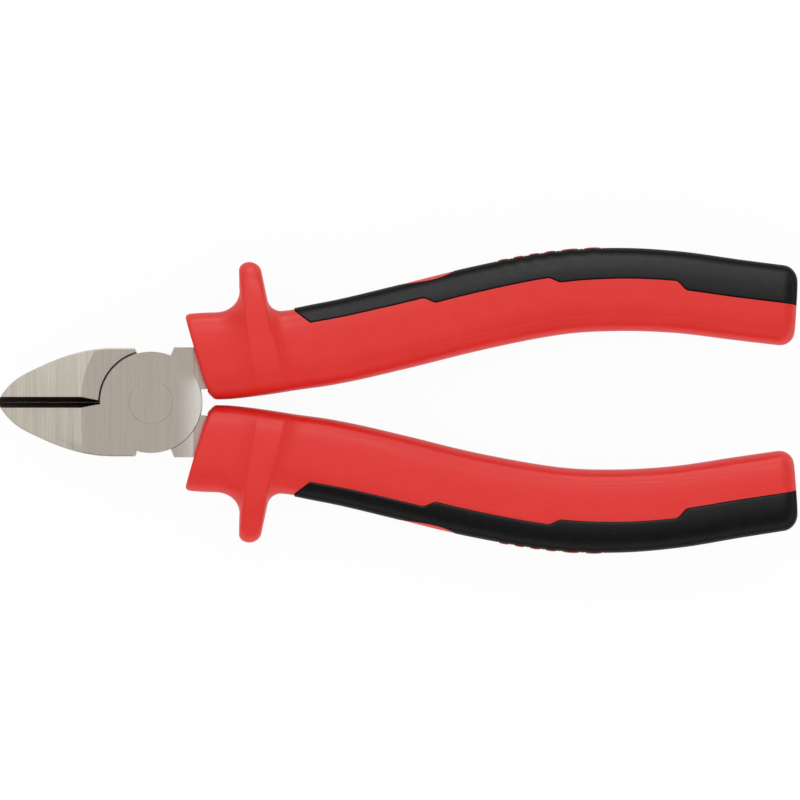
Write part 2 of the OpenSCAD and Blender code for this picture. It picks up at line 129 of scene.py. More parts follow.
# The grips.
GRIP_WIDTH = 16.4
GRIP_THICKNESS = 14.4
MOUTH_START = 9.2
MOUTH_HEIGHT = 9.1
GRIP_RISE = 13.4
GRIP_END = 129.5
GRIP_RUN = GRIP_END - MOUTH_START
LOWER_TURN_IN = 1.8
TURN_IN_START = 0.4
TURN_IN_POWER = 1.15
MOUTH_LEAN = math.radians(15)
LEAN_LENGTH = 18.0
MOUTH_ROUND = 0.7
MOUTH_INNER_CORNER = 1.3
MOUTH_OUTER_CORNER = 1.3
END_ROUND = 3.0
END_TURN = 0.1
END_LEAN = 0.45
SLOPE_STEP = 0.002 * GRIP_RUN
SECTION_POWER = 3.0
# A fine bead along each flat face, where it starts to round over to the inner edge.
BEAD_TURN = math.radians(120.6)
BEAD_HALF_TURN = 0.022
BEAD_HEIGHT = 0.07
BEAD_FADES = (38.0, 48.0, 104.0, 114.0)

GUARD_HEIGHT = 10.2
GUARD_PLACE = 13.1
GUARD_TIP = 4.0
GUARD_ROOT = 4.8
GUARD_FRONT_FILLET = 5.2
GUARD_BACK_FILLET = 2.6
GUARD_SWELL = 0.9
RIDGE_FRONT_HOLLOW = 5.5
RIDGE_BACK_HOLLOW = 3.8
RIDGE_BACK_SPREAD = 1.8

SOFT_THICKNESS = 1.5
SOFT_RISE = 0.25
SOFT_REACH = 7.4
SOFT_EDGE_RADIUS = 0.22
SEAM = 0.05
SEAM_TURN = SEAM / (GRIP_THICKNESS / 2)
STEP_ROUNDING = 0.5
RIB_COUNT = 4
LONG_RIB_COUNT = 2
RIBS = range(RIB_COUNT + LONG_RIB_COUNT)
RIB_START = 61.8
RIB_PITCH = 2.95
LONG_RIB_PITCH = 4.2
RIB_NOTCH = 0.6
RIB_HEIGHT = 0.2
RIB_SWELL = 0.2
RIB_EDGE_DROP = 0.2
RIB_SPREAD = math.radians(12)
RIB_DOME_POWER = 3
PAD_PLACE = 48.0
PAD_LENGTH = 11.0
PAD_HEIGHT = 0.2
PAD_SPREAD = math.radians(27)
PAD_SKEW = 0.3
PAD_END_SHARE = 0.1
PAD_CROWN_RISE = 2.5
ROOT_DEPTH = 2.1
# How far a cutting form runs past what it cuts.
OVERRUN = 1.0
# Points of a cut form closer than this are one.
WELD = 0.002

# Shares of the run from mouth to end, and shares of the size that each table belongs to.
GRIP_LINE = [
    (0, 0), (0.13, 0.07), (0.23, 0.21), (0.33, 0.415), (0.47, 0.725),
    (0.6, 0.946), (0.7, 1), (0.8, 0.96), (0.9, 0.845), (1, 0.735),
]
WIDTH_SHARES = [
    (0, 1.1), (0.035, 1.093), (0.09, 1.037), (0.134, 0.995), (0.165, 0.983), (0.21, 1),
    (0.68, 1.005), (0.86, 0.975), (1, 0.965),
]
THICKNESS_SHARES = [(0, 0.89), (0.15, 0.9), (0.35, 0.965), (0.6, 1), (0.85, 0.97), (1, 0.93)]
SOFT_BORDER = [
    (0.172, 0.04), (0.196, 0.45), (0.388, 0.49), (0.403, 0.695), (0.59, 0.665),
    (0.606, 0.83), (0.798, 0.78), (0.813, 1), (1, 0.98),
]
SHARP_BORDER_END = 0.25

# How finely the forms are drawn.
RING_COLUMNS = 104
SOFT_COLUMNS = 44
INSET_COLUMNS = 24
RIVET_COLUMNS = 128
RIB_RINGS = 17
SLOT_RINGS = 5
PAD_RINGS = 41
TANG_RINGS = 80
ARC_STEPS = 12
EDGE_STEPS = 4
ROUNDING_STEPS = 4
BODY_STEP = 0.55
RIB_STEP = 0.37
CORNER_STEP = 0.3
TURN_STEP = 0.01
SKIN_SAMPLES = 4001
FLANK_SHARES = (0.2, 0.4, 0.6, 0.8)
# Points over a bead, how far they reach in its half turns, and the room left to the next points.
BEAD_POINTS = 9
BEAD_REACH = 2
BEAD_ROOM = 2.5

# Where the steel's finish changes, and where highlights are painted on it.
CREASE_BLUR = 0.06
CREASE_TURN = (-4.0, 4.0)
HIGHLIGHT_SPAN = (4.8, 10.2)
HIGHLIGHT_SIDE = (6.5, 2.5)
NECK_HIGHLIGHT_SPAN = (8.3, 9.1)
EDGE_LINE = 0.05

# The finishes: pairs of the darkest and the lightest shade, and ranges of roughness.
GROUND_SHADES = ((0.53, 0.494, 0.424, 1), (0.78, 0.728, 0.624, 1))
SATIN_SHADES = ((0.385, 0.338, 0.295, 1), (0.51, 0.447, 0.39, 1))
# A painted highlight for the back of the lap and the necks.
PAINTED_HIGHLIGHT_SHADE = (0.68, 0.655, 0.605, 1)
STEEL_ROUGHNESS = (0.43, 0.55)
SATIN_SMOOTHING = -0.05
# The groove is painted dark for the shade deep in it, and its cutting edges get a painted
# highlight.
GROOVE_SHADES = ((0.030, 0.021, 0.017, 1), (0.080, 0.060, 0.050, 1))
CUTTING_EDGE_HIGHLIGHT_SHADE = (0.08, 0.07, 0.06, 1)
GROOVE_ROUGHNESS = (0.45, 0.65)
# Broken edges and slopes: steel lighter from handling and from a painted highlight.
WORN_HIGHLIT_SHADES = ((0.52, 0.48, 0.42, 1), (0.66, 0.62, 0.55, 1))
WORN_ROUGHNESS = (0.50, 0.65)
RED_SHADES = ((0.66, 0.016, 0.012, 1), (0.72, 0.026, 0.020, 1))
# Convex edges of the sleeve, lighter from handling and from a painted sheen.
RED_RUBBED_AND_SHEEN_SHADE = (0.76, 0.055, 0.045, 1)
RED_RUBBING_AND_SHEEN = 0.5
RED_RUBBED_SMOOTHING = -0.1
RED_ROUGHNESS = (0.30, 0.42)
BLACK_SHADES = ((0.0022, 0.0019, 0.0018, 1), (0.0050, 0.0043, 0.0041, 1))
# Convex edges of the soft zone, lighter from handling and from a painted sheen.
BLACK_RUBBED_AND_SHEEN_SHADE = (0.03, 0.028, 0.027, 1)
BLACK_RUBBING_AND_SHEEN = 0.4
BLACK_ROUGHNESS = (0.36, 0.50)
DUST_SHADE = (0.035, 0.034, 0.033, 1)
DUST_CELLS = 300.0
DUST_SPECK = (0.05, 0.025)
# The gloss of the grips, looked at squarely and along a rim, where their fine texture dulls it.
PLASTIC_GLOSS = (0.4, 0.08)
PLASTIC_DULLING = (0.3, 0.75)
RUBBER_GLOSS = (0.32, 0.02)
RUBBER_DULLING = (0.1, 0.54)
# What the textures share: the span of plain noise, how grinding lines are drawn out and mixed, and
# which convex edges handling scuffs and a painted sheen lightens.
NOISE_SPAN = (0.3, 0.7)
LINE_STRETCH = (1.0, 0.02, 0.02)
BROAD_LINES = 0.16
FINE_SHARE, BROAD_SHARE = 0.65, 0.35
GRAIN_SHARE, MOTTLE_SHARE = 0.5, 0.5
WEAR_AND_SHEEN_SPAN = (0.51, 0.58)
WEAR_AND_SHEEN_PATCHES = 700.0
# The finishes of a forging, in the order of its material slots.
STEEL, GROOVE, WORN_HIGHLIT = range(3)

# The studio. The camera looks straight down on the tool.
WHITE = (1, 1, 1, 1)
ROOM_LIGHT = 0.94
CEILING_MIDDLE = (0.0, 0.9, 0.44)
CEILING_SPAN = (-0.2, 0.88)
CEILING_LEFT = (-0.6, -0.15)
CEILING_RIGHT = (0.5, 0.08)
CEILING_SIDE_SHARE = 0.15
CEILING_GLOW = 1.8
WALL_GLOW = 0.1
WINDOW_SPAN = (0.91, 0.99)
WINDOW_GLOW = 3.0
FLOOR_GLOW = 0.95
FLOOR_PAINT = (0.93, 0.93, 0.93, 1)
LENS = 400.0
SENSOR = 36.0
VIEW_WIDTH = 160.48
VIEW_MIDDLE = (49.85, 0.46)
# In metres: how far the floor reaches, and what the lamps point at.
FLOOR_REACH = 3.0
TOOL_MIDDLE = (0.05, 0.0, 0.0)
# The lamps: name, place and size in metres, watts, and whether shiny surfaces mirror it.
LAMPS = [
    ("side_softbox", (0.05, 0.48, 0.48), (0.3, 0.2), 0.35, True),
    ("low_fill", (0.05, -0.55, 0.26), (0.4, 0.3), 0.5, False),
]


# Meshes

def add_piece(name, mesh, finishes):
    """An object in the scene from a mesh and its finishes."""
    piece = bpy.data.objects.new(name, mesh)
    bpy.context.scene.collection.objects.link(piece)
    for finish in finishes:
        mesh.materials.append(finish)
    return piece


def mesh_piece(name, points, faces, finishes):
    """One mesh object from points in millimetres, with its faces turned outwards."""
    mesh = bpy.data.meshes.new(name)
    mesh.from_pydata(np.asarray(points, dtype=float) * MM, [], faces)
    form = bmesh.new()
    form.from_mesh(mesh)
    bmesh.ops.recalc_face_normals(form, faces=form.faces)
    form.to_mesh(mesh)
    form.free()
    return add_piece(name, mesh, finishes)


def loft(rings):
    """Points and faces of a closed skin through rings of equal length."""
    count = len(rings[0])
    faces = []
    for here in range(0, (len(rings) - 1) * count, count):
        there = here + count
        for k in range(count):
            after = (k + 1) % count
            faces.append((here + k, here + after, there + after, there + k))
    last = (len(rings) - 1) * count
    faces.append(tuple(range(count)))
    faces.append(tuple(range(last, last + count)))
    return np.concatenate(rings), faces


def joined(forms):
    """Several forms, given as points and faces, in one."""
    points, faces, start = [], [], 0
    for form_points, form_faces in forms:
        points.append(form_points)
        faces += [tuple(start + i for i in face) for face in form_faces]
        start += len(form_points)
    return np.concatenate(points), faces


def carve(piece, tool, operation):
    """Cuts a tool out of a piece, or joins it on, and throws the tool away."""
    step = piece.modifiers.new(operation, "BOOLEAN")
    step.operation = operation
    step.solver = "EXACT"
    step.object = tool
    bpy.context.view_layer.update()
    carved = piece.evaluated_get(bpy.context.evaluated_depsgraph_get())
    result = bpy.data.meshes.new_from_object(carved)
    piece.modifiers.remove(step)
    piece.data = result
    bpy.data.objects.remove(tool)


def weld(piece):
    """Closes the hair cracks that cutting can leave along an edge."""
    form = bmesh.new()
    form.from_mesh(piece.data)
    bmesh.ops.remove_doubles(form, verts=form.verts, dist=WELD * MM)
    bmesh.ops.dissolve_degenerate(form, edges=form.edges, dist=WELD * MM)
    form.to_mesh(piece.data)
    form.free()


def shade(piece):
    """Smooth shading that breaks at sharp edges."""
    piece.data.shade_smooth()
    piece.data.set_sharp_from_angle(angle=math.radians(SHARP_ANGLE))


def place(piece, body, node):
    """A finished piece moves with its body and stands for a node of the frame."""
    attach(piece, body)
    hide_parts(node)


# Grips

def read_table(table, share):
    """Smooth reading of a table of (place, value) pairs, through every pair."""
    at = min(max(share, 0.0), 1.0)
    i = 0
    while i < len(table) - 2 and at > table[i + 1][0]:
        i += 1

    def grade(k):
        a, b = max(k - 1, 0), min(k + 1, len(table) - 1)
        return (table[b][1] - table[a][1]) / (table[b][0] - table[a][0])

    gap = table[i + 1][0] - table[i][0]
    s = (at - table[i][0]) / gap
    return (
        table[i][1] * (2 * s**3 - 3 * s**2 + 1)
        + table[i + 1][1] * (3 * s**2 - 2 * s**3)
        + grade(i) * gap * (s**3 - 2 * s**2 + s)
        + grade(i + 1) * gap * (s**3 - s**2)
    )


def grip_middle(x, turn_in):
    """Height of a grip's middle line, which turns in towards its end."""
    share = min(max((x - MOUTH_START) / GRIP_RUN, 0.0), 1.0)
    turned = turn_in * max((share - TURN_IN_START) / (1 - TURN_IN_START), 0.0) ** TURN_IN_POWER
    return MOUTH_HEIGHT + GRIP_RISE * read_table(GRIP_LINE, share) - turned


def section_lean(d, turn_in):
    """Lean of a cross-section: square to the grip, more at the mouth, nearly upright at the end."""
    x = MOUTH_START + d
    rise = grip_middle(x + SLOPE_STEP, turn_in) - grip_middle(x - SLOPE_STEP, turn_in)
    upright = min(max((d / GRIP_RUN - 1) / END_TURN + 1, 0.0), 1.0)
    slope = math.atan2(rise, 2 * SLOPE_STEP) * (1 - upright * (1 - END_LEAN))
    return slope + MOUTH_LEAN * max(1 - d / LEAN_LENGTH, 0.0)


def half_width(d):
    """Half the grip's width at a distance from its mouth."""
    return GRIP_WIDTH / 2 * read_table(WIDTH_SHARES, d / GRIP_RUN)


def rounding_start(turn_in):
    """Where the closed end's rounding starts, so that its furthest corner keeps the length."""
    near_end = GRIP_RUN - 2 * SLOPE_STEP
    lean = abs(section_lean(near_end, turn_in))
    setback = (half_width(near_end) - END_ROUND) * math.sin(lean)
    return GRIP_RUN - setback - END_ROUND


def squared(c):
    """A cosine or sine drawn out, for a cross-section squarer than an ellipse."""
    return np.sign(c) * np.abs(c) ** (2 / SECTION_POWER)


def ridge(d, across):
    """Height of the guard's ridge on the flat faces: level on top, with a hollow on each side.

    Its back edge leans away from the guard towards the inner edge, where across is -1.
    """
    off_middle = d - GUARD_PLACE
    hollow = RIDGE_BACK_HOLLOW if off_middle > 0 else RIDGE_FRONT_HOLLOW
    lean = RIDGE_BACK_SPREAD * (1 - across) / 2 if off_middle > 0 else 0.0
    off_top = np.maximum(abs(off_middle) - GUARD_TIP / 2 - lean, 0.0)
    return GUARD_SWELL * np.maximum(1 - off_top / hollow, 0.0) ** 2


def grip_skin(d, turns, turn_in, grow=0.0, rise=0.0, outer_cut=0.0, inner_cut=0.0, bead=0.0):
    """Points of the grip's skin at turns round it, from the outer edge.

    The skin can grow all round, rise at the outer edge for the guard, fall back at either edge for
    the mouth's corners, and carry the beads.
    """
    cos, sin = np.cos(turns), np.sin(turns)
    half_thickness = GRIP_THICKNESS / 2 * read_table(THICKNESS_SHARES, d / GRIP_RUN)
    out = (half_width(d) + grow) * squared(cos)
    out += (rise - outer_cut) * np.maximum(cos, 0) + inner_cut * np.maximum(-cos, 0)
    deep = (half_thickness + ridge(d, squared(cos)) + grow) * squared(sin)
    off_bead = (np.arccos(cos) - BEAD_TURN) / BEAD_HALF_TURN
    deep += np.sign(sin) * bead * np.exp(-off_bead**2)
    lean = section_lean(d, turn_in)
    middle = grip_middle(MOUTH_START + d, turn_in)
    return np.stack(
        [MOUTH_START + d - out * math.sin(lean), middle + out * math.cos(lean), deep], axis=1
    )


def skin_turns(count):
    """Turns that space points evenly round the grip, with more of them over the two beads."""
    fine = np.linspace(0, 2 * math.pi, SKIN_SAMPLES)
    skin = grip_skin(GRIP_RUN / 2, fine, 0.0, rise=GUARD_HEIGHT / 3)
    steps = np.linalg.norm(np.diff(skin, axis=0), axis=1)
    length = np.concatenate([[0], np.cumsum(steps)])
    even = np.interp((np.arange(count) + 0.5) / count * length[-1], length, fine)
    over = BEAD_TURN + BEAD_HALF_TURN * np.linspace(-BEAD_REACH, BEAD_REACH, BEAD_POINTS)
    beads = np.concatenate([over, 2 * math.pi - over])
    clear = np.abs(np.arccos(np.cos(even)) - BEAD_TURN) > BEAD_ROOM * BEAD_HALF_TURN
    return np.sort(np.concatenate([even[clear], beads]))


def bead_at(d):
    """Height of the bead along the grip, which fades in behind the guard and out before the end."""
    return BEAD_HEIGHT * float(np.interp(d, BEAD_FADES, (0, 1, 1, 0)))


def quarter(steps):
    """Turns of a quarter circle."""
    return [math.pi / 2 * i / steps for i in range(steps + 1)]


def between(start, end, step):
    """Places between two ends, no further apart than a step, without the ends."""
    count = max(math.ceil((end - start) / step), 1)
    return [start + (end - start) * i / count for i in range(1, count)]


def corner_cut(d, radius):
    """How far a rounded corner of the mouth falls back."""
    return radius - math.sqrt(radius**2 - (radius - d) ** 2) if d < radius else 0.0


def mouth_station(d, grow):
    """A station at the mouth, where both edges have rounded corners."""
    return d, grow, 0.0, corner_cut(d, MOUTH_OUTER_CORNER), corner_cut(d, MOUTH_INNER_CORNER)


def guard_side(fillet):
    """Half of the guard's outline, from its root fillet to the middle of its round tip."""
    side = [
        (GUARD_ROOT / 2 + fillet * (1 - math.sin(t)), fillet * (1 - math.cos(t)))
        for t in quarter(ARC_STEPS)
    ]
    tip = [
        (GUARD_TIP / 2 * math.cos(t), GUARD_HEIGHT - GUARD_TIP / 2 * (1 - math.sin(t)))
        for t in quarter(ARC_STEPS)
    ]
    root, start = side[-1], tip[0]
    flank = [
        (root[0] + (start[0] - root[0]) * s, root[1] + (start[1] - root[1]) * s)
        for s in FLANK_SHARES
    ]
    return side + flank + tip


def end_rounding(turn_in):
    """Stations (distance from the mouth, growth) of the rounding at a grip's closed end."""
    start = rounding_start(turn_in)
    return [
        (start + END_ROUND * math.sin(t), -END_ROUND * (1 - math.cos(t)))
        for t in quarter(ARC_STEPS)
    ]


def grip_stations(turn_in):
    """Stations along a grip: distance from the mouth, growth, guard rise, outer and inner cut."""
    front, back = guard_side(GUARD_FRONT_FILLET), guard_side(GUARD_BACK_FILLET)
    guard_start, guard_end = GUARD_PLACE - front[0][0], GUARD_PLACE + back[0][0]
    body = between(guard_end, rounding_start(turn_in), BODY_STEP)
    stations = [
        mouth_station(MOUTH_ROUND * (1 - math.cos(t)), -MOUTH_ROUND * (1 - math.sin(t)))
        for t in quarter(ARC_STEPS)
    ]
    stations += [mouth_station(d, 0.0) for d in between(MOUTH_ROUND, guard_start, CORNER_STEP)]
    stations += [(GUARD_PLACE - along, 0.0, rise, 0.0, 0.0) for along, rise in front]
    stations += [(GUARD_PLACE + along, 0.0, rise, 0.0, 0.0) for along, rise in reversed(back[:-1])]
    stations += [(d, 0.0, 0.0, 0.0, 0.0) for d in body]
    stations += [(d, grow, 0.0, 0.0, 0.0) for d, grow in end_rounding(turn_in)]
    return stations


def soft_reach(d):
    """How far the soft zone reaches in from the outer edge, with rounded steps in its border."""
    places, values = zip(*SOFT_BORDER)
    share = d / GRIP_RUN
    spread = STEP_ROUNDING / GRIP_RUN if share > SHARP_BORDER_END else 0.0
    offsets = range(-ROUNDING_STEPS, ROUNDING_STEPS + 1)
    around = [share + spread * k / ROUNDING_STEPS for k in offsets]
    weights = [ROUNDING_STEPS + 1 - abs(k) for k in offsets]
    return SOFT_REACH * float(np.average(np.interp(around, places, values), weights=weights))


def soft_spread(d):
    """Half the turn that the soft zone covers round the outer edge."""
    return math.acos(max(1 - soft_reach(d) / half_width(d), 0.0) ** (SECTION_POWER / 2))


def edge_ring(d, spread, top, floor, columns, turn_in, edge_radius=0.0, swell=0.0):
    """Cross-section of a strip along the outer edge, from a top above the skin to a floor below.

    The top's two edges can be rounded, and it can swell in the middle.
    """
    near_edge = grip_skin(d, np.array([spread - TURN_STEP, spread]), turn_in)
    back = edge_radius * TURN_STEP / np.linalg.norm(near_edge[1] - near_edge[0])
    arc = np.array(quarter(EDGE_STEPS) if edge_radius else [math.pi / 2])
    side_turns = spread - back * (1 - np.sin(arc))
    side_tops = top - edge_radius * (1 - np.cos(arc))
    across = (spread - back) * np.linspace(-1, 1, columns + 1)[1:-1]
    below = spread * np.linspace(1, -1, columns + 1)
    turns = np.concatenate([-side_turns[::-1], across, side_turns, below])
    swollen = top + swell * np.cos(math.pi / 2 * across / spread) ** 2
    grow = np.concatenate([side_tops[::-1], swollen, side_tops, np.full_like(below, -floor)])
    return grip_skin(d, turns, turn_in, grow)


def soft_stations(turn_in):
    """Stations (distance from the mouth, fall of the rounded front edge) along the soft zone."""
    start = SOFT_BORDER[0][0] * GRIP_RUN
    corner = SOFT_BORDER[1][0] * GRIP_RUN
    stations = [
        (start + SOFT_EDGE_RADIUS * (1 - math.cos(t)), SOFT_EDGE_RADIUS * (1 - math.sin(t)))
        for t in quarter(EDGE_STEPS)
    ]
    ribs_start = rib_span(RIBS[0])[0] - RIB_NOTCH / 2
    ribs_end = rib_span(RIBS[-1])[1] + RIB_NOTCH / 2
    places = between(stations[-1][0], corner, CORNER_STEP) + [corner]
    places += between(corner, ribs_start, BODY_STEP) + [ribs_start]
    places += between(ribs_start, ribs_end, RIB_STEP) + [ribs_end]
    places += between(ribs_end, rounding_start(turn_in), BODY_STEP)
    return stations + [(d, 0.0) for d in places]


def soft_form(turn_in):
    """The soft zone, which stands a little proud of the sleeve, with rounded edges."""
    floor = SOFT_THICKNESS - SEAM

    def ring(d, grow, depth, swell=0.0):
        top = SOFT_RISE + grow
        return edge_ring(
            d, soft_spread(d), top, depth, SOFT_COLUMNS, turn_in, SOFT_EDGE_RADIUS, swell
        )

    rings = [ring(d, -fall, floor, rib_swell(d)) for d, fall in soft_stations(turn_in)]
    rings += [ring(d, grow, floor - grow) for d, grow in end_rounding(turn_in)]
    return loft(rings)


def pocket_form(turn_in):
    """The pocket for the soft zone, which runs out of the sleeve's skin and past its end."""
    stations = [(d, 0.0) for d, _ in soft_stations(turn_in)] + end_rounding(turn_in)
    rings = []
    for d, grow in stations:
        spread = max(soft_spread(d - SEAM), soft_spread(d + SEAM)) + SEAM_TURN
        top, floor = OVERRUN + grow, SOFT_THICKNESS - grow
        rings.append(edge_ring(d, spread, top, floor, SOFT_COLUMNS, turn_in))
    before = rings[0] - np.array([SEAM, 0.0, 0.0])
    beyond = rings[-1] + np.array([OVERRUN, 0.0, 0.0])
    return loft([before] + rings + [beyond])


def rib_span(index):
    """Where a rib starts and ends: the short ribs come first, then the long ones."""
    long_ones = max(index - RIB_COUNT, 0)
    start = RIB_START + min(index, RIB_COUNT) * RIB_PITCH + long_ones * LONG_RIB_PITCH
    pitch = RIB_PITCH if index < RIB_COUNT else LONG_RIB_PITCH
    return start, start + pitch - RIB_NOTCH


def rib_swell(d):
    """How far the soft zone swells round the ribs at a place along the grip."""
    for index in RIBS:
        start, end = rib_span(index)
        off_middle = abs(d - (start + end) / 2) / ((end - start + RIB_NOTCH) / 2)
        if off_middle < 1:
            return RIB_SWELL * math.cos(math.pi / 2 * off_middle) ** 2
    return 0.0


def rib_form(index, turn_in):
    """A domed rib across the outer edge."""
    start, end = rib_span(index)
    rings = []
    for s in np.linspace(-1, 1, RIB_RINGS):
        dome = math.sqrt(max(1 - abs(s) ** RIB_DOME_POWER, 0.0))
        top = SOFT_RISE - RIB_EDGE_DROP + (RIB_EDGE_DROP + RIB_HEIGHT) * dome
        d = (start + end) / 2 + (end - start) / 2 * s
        rings.append(
            edge_ring(d, RIB_SPREAD, top, ROOT_DEPTH, INSET_COLUMNS, turn_in, RIB_EDGE_DROP)
        )
    return loft(rings)


def rib_slot(index, turn_in):
    """The slot in the soft zone that a rib shows through."""
    start, end = rib_span(index)
    spread = RIB_SPREAD + SEAM_TURN
    floor = SOFT_THICKNESS + OVERRUN
    places = np.linspace(start - SEAM, end + SEAM, SLOT_RINGS)
    return loft([edge_ring(d, spread, OVERRUN, floor, INSET_COLUMNS, turn_in) for d in places])


def pad_form(turn_in, extra, crown, base, floor):
    """The bare oval pad on the outer edge, or with extra room the window that it shows through."""
    half = PAD_LENGTH / 2 + extra
    rings = []
    for t in np.linspace(-math.pi / 2, math.pi / 2, PAD_RINGS):
        oval = math.cos(t)
        skewed = oval * (1 + PAD_SKEW * math.sin(t))
        spread = PAD_SPREAD * max(skewed, PAD_END_SHARE) + extra / (GRIP_THICKNESS / 2)
        top = base + (crown - base) * min(1.0, PAD_CROWN_RISE * oval)
        d = PAD_PLACE + half * math.sin(t)
        rings.append(edge_ring(d, spread, top, floor, INSET_COLUMNS, turn_in))
    return loft(rings)


def tang_form(turn_in):
    """Room in the grip for the neck and tang."""
    tip = GRIP_END - TANG_STOP + TANG_TIP_FIT

    def swing(x):
        c = min(max((x - THIN_START) / TANG_SWING, 0.0), 1.0)
        return c * c * (3 - 2 * c)

    def middle(x):
        return NECK_MIDDLE + (grip_middle(x, turn_in) - NECK_MIDDLE) * swing(x)

    rings = []
    for x in np.linspace(THIN_START - TANG_LEAD, tip + TANG_HALF_WIDTH, TANG_RINGS):
        half = NECK_HALF_WIDTH + (TANG_HALF_WIDTH - NECK_HALF_WIDTH) * swing(x)
        if x > tip:
            half *= math.sqrt(max(1 - ((x - tip) / TANG_HALF_WIDTH) ** 2, TANG_BLUNTNESS))
        half += TANG_FIT
        thin = min(max((x - THIN_START) / THIN_LENGTH, 0.0), 1.0)
        deep = JOINT_HALF + (TANG_HALF_THICKNESS - JOINT_HALF) * thin + TANG_FIT
        rise = middle(x + TANG_SLOPE_STEP) - middle(x - TANG_SLOPE_STEP)
        slope = math.atan2(rise, 2 * TANG_SLOPE_STEP)
        outer, inner = [
            (x - side * half * math.sin(slope), middle(x) + side * half * math.cos(slope))
            for side in (1, -1)
        ]
        rings.append(np.array([(*outer, deep), (*outer, -deep), (*inner, -deep), (*inner, deep)]))
    return loft(rings)


def upper(points):
    """The upper grip is drawn where it is, about the joint's middle plane."""
    return points + np.array([0.0, 0.0, JOINT_HALF])


def lower(points):
    """The lower grip is the upper one's form turned over about the tool's length."""
    return points * np.array([1.0, -1.0, -1.0]) + np.array([0.0, 0.0, JOINT_HALF])


def make_grip(side, set_in, turn_in, body, hard, soft):
    """One two-shot grip: a hard sleeve with ribs and a pad, and the soft zone they show through."""

    def form_piece(name, form, finishes):
        points, faces = form
        return mesh_piece(name, set_in(points), faces, finishes)

    def tool(form):
        return form_piece("tool", form, [])

    turns = skin_turns(RING_COLUMNS)
    rings = [
        grip_skin(d, turns, turn_in, grow, rise, outer_cut, inner_cut, bead_at(d))
        for d, grow, rise, outer_cut, inner_cut in grip_stations(turn_in)
    ]
    sleeve = form_piece(f"{side}_hard_sleeve", loft(rings), [hard])
    zone = form_piece(f"{side}_soft_zone", soft_form(turn_in), [soft])
    raised = [rib_form(i, turn_in) for i in RIBS]
    raised.append(pad_form(turn_in, 0.0, PAD_HEIGHT, 0.0, ROOT_DEPTH))
    openings = [rib_slot(i, turn_in) for i in RIBS]
    openings.append(pad_form(turn_in, SEAM, OVERRUN, OVERRUN, SOFT_THICKNESS + OVERRUN))
    carve(sleeve, tool(pocket_form(turn_in)), "DIFFERENCE")
    carve(sleeve, tool(joined(raised)), "UNION")
    carve(sleeve, tool(tang_form(turn_in)), "DIFFERENCE")
    carve(zone, tool(joined(openings)), "DIFFERENCE")
    for piece in (sleeve, zone):
        weld(piece)
        shade(piece)
    place(sleeve, body, f"{side}_grip_sleeve")
    place(zone, body, f"{side}_soft_grip")


# Head

def in_groove(middle):
    """Whether a place on a forging lies in the groove along the cutting edges."""
    return abs(middle.y) < GROOVE_REACH and middle.x < -GROOVE_BACK


def is_rim(edge):
    """Whether an edge of a forging runs along the outline of its front or back face."""
    if len(edge.link_faces) != 2:
        return False
    flat, wall = sorted(edge.link_faces, key=lambda face: -abs(face.normal.z))
    middle = (edge.verts[0].co + edge.verts[1].co) / 2 / MM
    outline = abs(flat.normal.z) > LEVEL and abs(wall.normal.z) < UPRIGHT
    on_face = abs(abs(middle.z - JOINT_HALF) - JOINT_HALF) < ON_FACE
    return outline and on_face and not in_groove(middle)


def is_sharp(edge):
    """Whether an edge of a forging is steep, or its crease, or the border between two finishes."""
    if len(edge.link_faces) != 2:
        return False
    first, second = edge.link_faces
    steep = edge.calc_face_angle(0) > math.radians(FORGED_SHARP_ANGLE)
    levels = sorted((abs(first.normal.z), abs(second.normal.z)))
    crease = levels[0] < CREASE_LEVELS[0] and levels[1] > CREASE_LEVELS[1]
    return steep or crease or first.material_index != second.material_index


def make_forging(name, node, body, finishes):
    """A forged half from the frame's own shape, with its sharp outline edges broken."""
    form = bmesh.new()
    form.from_mesh(frame["nodes"][node].data)
    bmesh.ops.remove_doubles(form, verts=form.verts, dist=SAME_POINT * MM)
    bmesh.ops.dissolve_limit(
        form, angle_limit=math.radians(SAME_FACE_ANGLE), verts=form.verts, edges=form.edges
    )
    for point in form.verts:
        if abs(point.co.y) < EDGE_REACH * MM and point.co.x < -GROOVE_BACK * MM:
            point.co.y *= EDGE_CLOSING
    form.normal_update()
    broken = bmesh.ops.bevel(
        form, geom=[edge for edge in form.edges if is_rim(edge)], offset=EDGE_BREAK * MM,
        offset_type="OFFSET", segments=EDGE_BREAK_STEPS, profile=0.5, affect="EDGES",
        clamp_overlap=True,
    )
    form.normal_update()
    worn_highlit = set(broken["faces"])
    for face in form.faces:
        level = abs(face.normal.z)
        sloping = WORN_HIGHLIT_SLOPES[0] < level < WORN_HIGHLIT_SLOPES[1]
        face.smooth = True
        # Broken edges and slopes take the steel that is lighter from handling and from a painted
        # highlight.
        face.material_index = WORN_HIGHLIT if face in worn_highlit or sloping else STEEL
        groove_wall = level < GROOVE_SLOPE and face.normal.x > TIP_FACING
        # The groove's walls take the steel painted dark for their shade.
        if groove_wall and in_groove(face.calc_center_median() / MM):
            face.material_index = GROOVE
    for edge in form.edges:
        edge.smooth = not is_sharp(edge)
    mesh = bpy.data.meshes.new(name)
    form.to_mesh(mesh)
    form.free()
    if "custom_normal" in mesh.attributes:
        mesh.attributes.remove(mesh.attributes["custom_normal"])
    place(add_piece(name, mesh, finishes), body, node)


